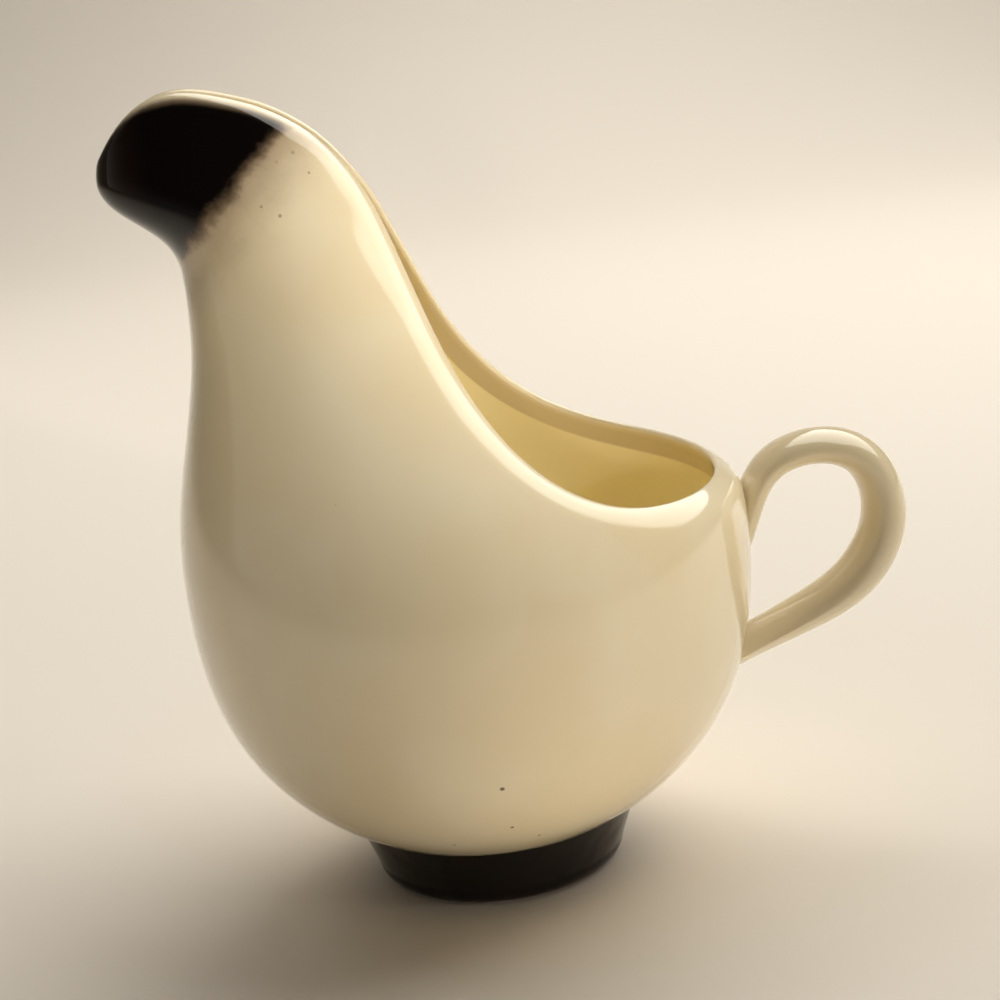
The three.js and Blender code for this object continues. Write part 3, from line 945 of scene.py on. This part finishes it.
line_at = natural_spline(HANDLE_LINE)
strap_line = [((FOOT_CENTRE + BELLY_RADIUS + out) * MM, 0, (BELLY_LEVEL + rise) * MM)
              for out, rise in line_at(np.linspace(0, len(HANDLE_LINE) - 1, LINE_POINTS))]
print("the strap's line reaches x =", round(max(x for x, _, _ in strap_line), 4), "m")

# %% Sweep the strap
# Rows along the strap and points round it. Then, as shares of its length: over how much the roots blend
# in, where the ridge grows, and what shrinks to a point at each end.
STRAP_ROWS = 150
STRAP_SIDES = 64
UPPER_BLEND, LOWER_BLEND = 0.12, 0.08
RIDGE_EDGE = (0.62, 0.9)
END_SHARE = 0.001
FLARE_POWER = 6

# Fullest and the two roots are shares of the length. Rounding and Ridge are powers that bend the section.
STRAP_SIZES = {
    "Thin": 4.6 * MM, "Thick": 7.7 * MM, "Fullest": 0.6, "Width": 11.6 * MM, "Flare": 1.6 * MM,
    "Rounding": 0.95, "Ridge": 0.7, "Root Spread": 0.3 * MM, "Upper Root": 0.1, "Lower Root": 0.98,
}


def bulged(value, power):
    """A sine or cosine whose curve is fuller below a power of 1 and sharper above it."""
    return value.function("SIGN") * value.function("ABSOLUTE") ** power


def strap_tree(material):
    tree, wires = node_group("pulled_strap", tuple(STRAP_SIZES))
    sheet, along, angle, place, tangent = sheet_on_line(tree, wires["Geometry"], STRAP_ROWS,
                                                        STRAP_SIDES + 1)
    full = 0.5 + 0.5 * ((along - wires["Fullest"]) * FULL_TURN).function("COSINE")
    upper = 1 - tree.step(along, wires["Upper Root"], wires["Upper Root"] + UPPER_BLEND)
    lower = tree.step(along, wires["Lower Root"] - LOWER_BLEND, wires["Lower Root"])
    spread = (upper + lower) * wires["Root Spread"]
    thickness = wires["Thin"] + (wires["Thick"] - wires["Thin"]) * full + spread
    flare = wires["Flare"] * ((along * 2 - 1).function("ABSOLUTE") ** FLARE_POWER)
    width = wires["Width"] + flare + spread
    ridge = 1 + wires["Ridge"] * tree.step(along, *RIDGE_EDGE)

    # The first and the last row shrink to a point each, which closes the ends.
    open_part = (along > END_SHARE) * (along < 1 - END_SHARE)
    through = thickness * 0.5 * bulged(angle.function("COSINE"), ridge) * open_part
    across = width * 0.5 * bulged(angle.function("SINE"), wires["Rounding"]) * open_part
    line_x, _, line_z = tree.axes(place)
    run_x, _, run_z = tree.axes(tangent)
    close_group(tree, sheet, line_x - run_z * through, across, line_z + run_x * through, material)
    return tree


handle = grow("glazed_strap_handle", strap_line, strap_tree(handle_glaze), STRAP_SIZES)

# %% [markdown]
# ## Fasten the pieces to the frame
# On the real object slip holds the ring and the strap, and the glaze hides it. The slip could be shown as
# pieces of its own, but nothing of it would be seen. So each finished piece rides on the only body of the
# part and stands for its CAD nodes with their slip.

# %% Ride and replace
for piece, slot, nodes in (
    (shell, "ivory_glaze", ("body",)),
    (foot, "dark_glaze", ("foot_ring", "foot_slip")),
    (handle, "ivory_glaze", ("handle", "upper_handle_slip", "lower_handle_slip")),
):
    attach(piece, "root")
    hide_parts(*nodes)
    print(piece.name, "stands for", ", ".join(nodes))

# %% [markdown]
# ## The sweep
# A pale sweep carries the creamer: a floor that curves up into a backdrop, as in a photographer's studio. A
# plane with a wall behind it would show a line where they meet. The floor is large, so that no edge of it
# is near from any side and the glaze mirrors none.

# %% Floor and backdrop
SWEEP_FRONT = -7.0
SWEEP_BEND = 0.8
SWEEP_RADIUS = 0.4
SWEEP_TOP = 3.0
SWEEP_SIDE = 7.0
BEND_STEP = 5
SWEEP_COLOUR = paint(240, 231, 218)
SWEEP_ROUGHNESS = 0.9


def sweep_mesh():
    profile = [(SWEEP_FRONT, 0.0), (SWEEP_BEND, 0.0)]
    profile += [(SWEEP_BEND + SWEEP_RADIUS * math.sin(a), SWEEP_RADIUS - SWEEP_RADIUS * math.cos(a))
                for a in np.radians(np.arange(BEND_STEP, 91, BEND_STEP))]
    profile += [(SWEEP_BEND + SWEEP_RADIUS, SWEEP_TOP)]
    points = [(side, y, z) for y, z in profile for side in (-SWEEP_SIDE, SWEEP_SIDE)]
    faces = [(2 * i, 2 * i + 1, 2 * i + 3, 2 * i + 2) for i in range(len(profile) - 1)]
    return mesh_object("pale_sweep", points, faces)


backdrop = sweep_mesh()
sweep_paint, tree = empty_material("pale_sweep_paint")
surface = tree.add("ShaderNodeBsdfPrincipled", None,
                   {"Base Color": SWEEP_COLOUR, "Roughness": SWEEP_ROUGHNESS})
tree.add("ShaderNodeOutputMaterial", None, {"Surface": surface})
backdrop.data.materials.append(sweep_paint)
print("the sweep has", len(backdrop.data.polygons), "faces")

# %% [markdown]
# ## The lamps
# Daylight comes from high on the right behind the creamer and is mirrored in a bright band along the rim. A
# sun lamp would throw a hard shadow, so a large soft area lamp does it. Two more lamps behind lift the
# backdrop and the left side, and four small ones with a narrow beam bring up the spout, the neck and the
# foot from the camera's side. Only the large one is mirrored in the glaze, or it would show seven windows.

# %% Soft lamps
MIDDLE = (0, 0, 0.06)
WIDE = 180
DAYLIGHT = (1, 0.985, 0.935)
PALE = (1, 0.97, 0.91)
WARM = (1, 0.96, 0.9)

# Name, place, size, watts, colour, what it looks at, beam in degrees, and whether the glaze mirrors it.
LAMPS = [
    ("key_lamp", (0.42, 0.4, 0.82), (1.3, 1.0), 10.4, DAYLIGHT, MIDDLE, WIDE, True),
    ("left_lamp", (-0.4, 0.45, 0.8), (0.6, 0.6), 1.1, PALE, MIDDLE, WIDE, False),
    ("backdrop_lamp", (0, 0.75, 0.75), (1.0, 0.8), 1.6, PALE, MIDDLE, WIDE, False),
    ("side_lamp", (0.8, -0.3, 0.2), (0.2, 0.2), 0.055, WARM, (0, 0, 0.13), 18, False),
    ("front_lamp", (-0.1, -1.2, 0.25), (0.08, 0.08), 0.02, WARM, (-0.02, 0, 0.125), 13, False),
    ("neck_lamp", (0.35, -0.9, 0.3), (0.05, 0.05), 0.011, WARM, (-0.015, 0, 0.103), 8, False),
    ("low_lamp", (0.1, -0.9, 0.03), (0.04, 0.04), 0.0042, WARM, (0, 0, 0.014), 6, False),
]


def soft_lamp(name, place, size, power, colour, aim, beam, mirrored):
    data = bpy.data.lights.new(name, "AREA")
    data.shape = "RECTANGLE"
    data.size, data.size_y = size
    data.spread = math.radians(beam)
    data.energy = power
    data.color = colour
    lamp = bpy.data.objects.new(name, data)
    lamp.location = place
    lamp.rotation_euler = (Vector(aim) - Vector(place)).to_track_quat("-Z", "Y").to_euler()
    lamp.visible_camera = False
    lamp.visible_glossy = mirrored
    bpy.context.scene.collection.objects.link(lamp)
    print(name, "gives", power, "W from", place)


for lamp_row in LAMPS:
    soft_lamp(*lamp_row)

# %% [markdown]
# ## The room
# The rest of the room is dim. It could be one grey, but then the glaze would mirror the same grey all over
# and look like plastic. So the world is brighter behind the creamer than on the camera's side, and glows a
# little along the horizon.

# %% World
ROOM_COLOUR = (1, 0.96, 0.89, 1)
ROOM_DIM = 0.01
ROOM_BEHIND, BEHIND_EDGE = 0.3, (-0.4, 0.6)
ROOM_HORIZON, HORIZON_EDGE = 0.08, (-0.05, 0.4)


def studio_world():
    world = bpy.data.worlds.new("studio")
    world.use_nodes = True
    world.node_tree.nodes.clear()
    tree = Tree(world.node_tree)
    _, y, z = tree.axes(tree.add("ShaderNodeTexCoord", out="Generated"))
    behind = ROOM_BEHIND * tree.step(y, *BEHIND_EDGE)
    horizon = ROOM_HORIZON * (1 - tree.step(z, *HORIZON_EDGE))
    light = tree.add("ShaderNodeBackground", None,
                     {"Color": ROOM_COLOUR, "Strength": ROOM_DIM + behind + horizon})
    tree.add("ShaderNodeOutputWorld", None, {"Surface": light})
    print("the room's level runs from", ROOM_DIM, "to", ROOM_DIM + ROOM_BEHIND + ROOM_HORIZON)
    return world


bpy.context.scene.world = studio_world()

# %% [markdown]
# ## The camera
# The camera stands where the photographer stood: above the rim, a little turned, and rolled by a few
# degrees as a camera held in the hand is. A Track To constraint would keep it level, so its three axes are
# worked out and rolled. The Standard view shows colours as they are written.

# %% Camera
CAMERA_AZIMUTH = math.radians(-1.11)
CAMERA_ELEVATION = math.radians(15.08)
CAMERA_ROLL = math.radians(6.39)
CAMERA_DISTANCE = 363.5
CAMERA_LENS = 75.64
SENSOR_WIDTH = 36
AIM = (6.64, 0, 65.65)

back = Vector((math.sin(CAMERA_AZIMUTH) * math.cos(CAMERA_ELEVATION),
               -math.cos(CAMERA_AZIMUTH) * math.cos(CAMERA_ELEVATION), math.sin(CAMERA_ELEVATION)))
right = Vector((math.cos(CAMERA_AZIMUTH), math.sin(CAMERA_AZIMUTH), 0))
up = back.cross(right)
rolled_right = right * math.cos(CAMERA_ROLL) - up * math.sin(CAMERA_ROLL)
rolled_up = right * math.sin(CAMERA_ROLL) + up * math.cos(CAMERA_ROLL)
axes = Matrix((rolled_right, rolled_up, back)).transposed()
place = (Vector(AIM) + Vector((FOOT_CENTRE, 0, 0)) + back * CAMERA_DISTANCE) * MM

camera = bpy.data.objects.new("camera", bpy.data.cameras.new("camera"))
camera.data.lens = CAMERA_LENS
camera.data.sensor_width = SENSOR_WIDTH
camera.matrix_world = Matrix.Translation(place) @ axes.to_4x4()
bpy.context.scene.collection.objects.link(camera)
bpy.context.scene.camera = camera
bpy.context.scene.view_settings.view_transform = "Standard"
print("camera at", [round(c, 3) for c in place])
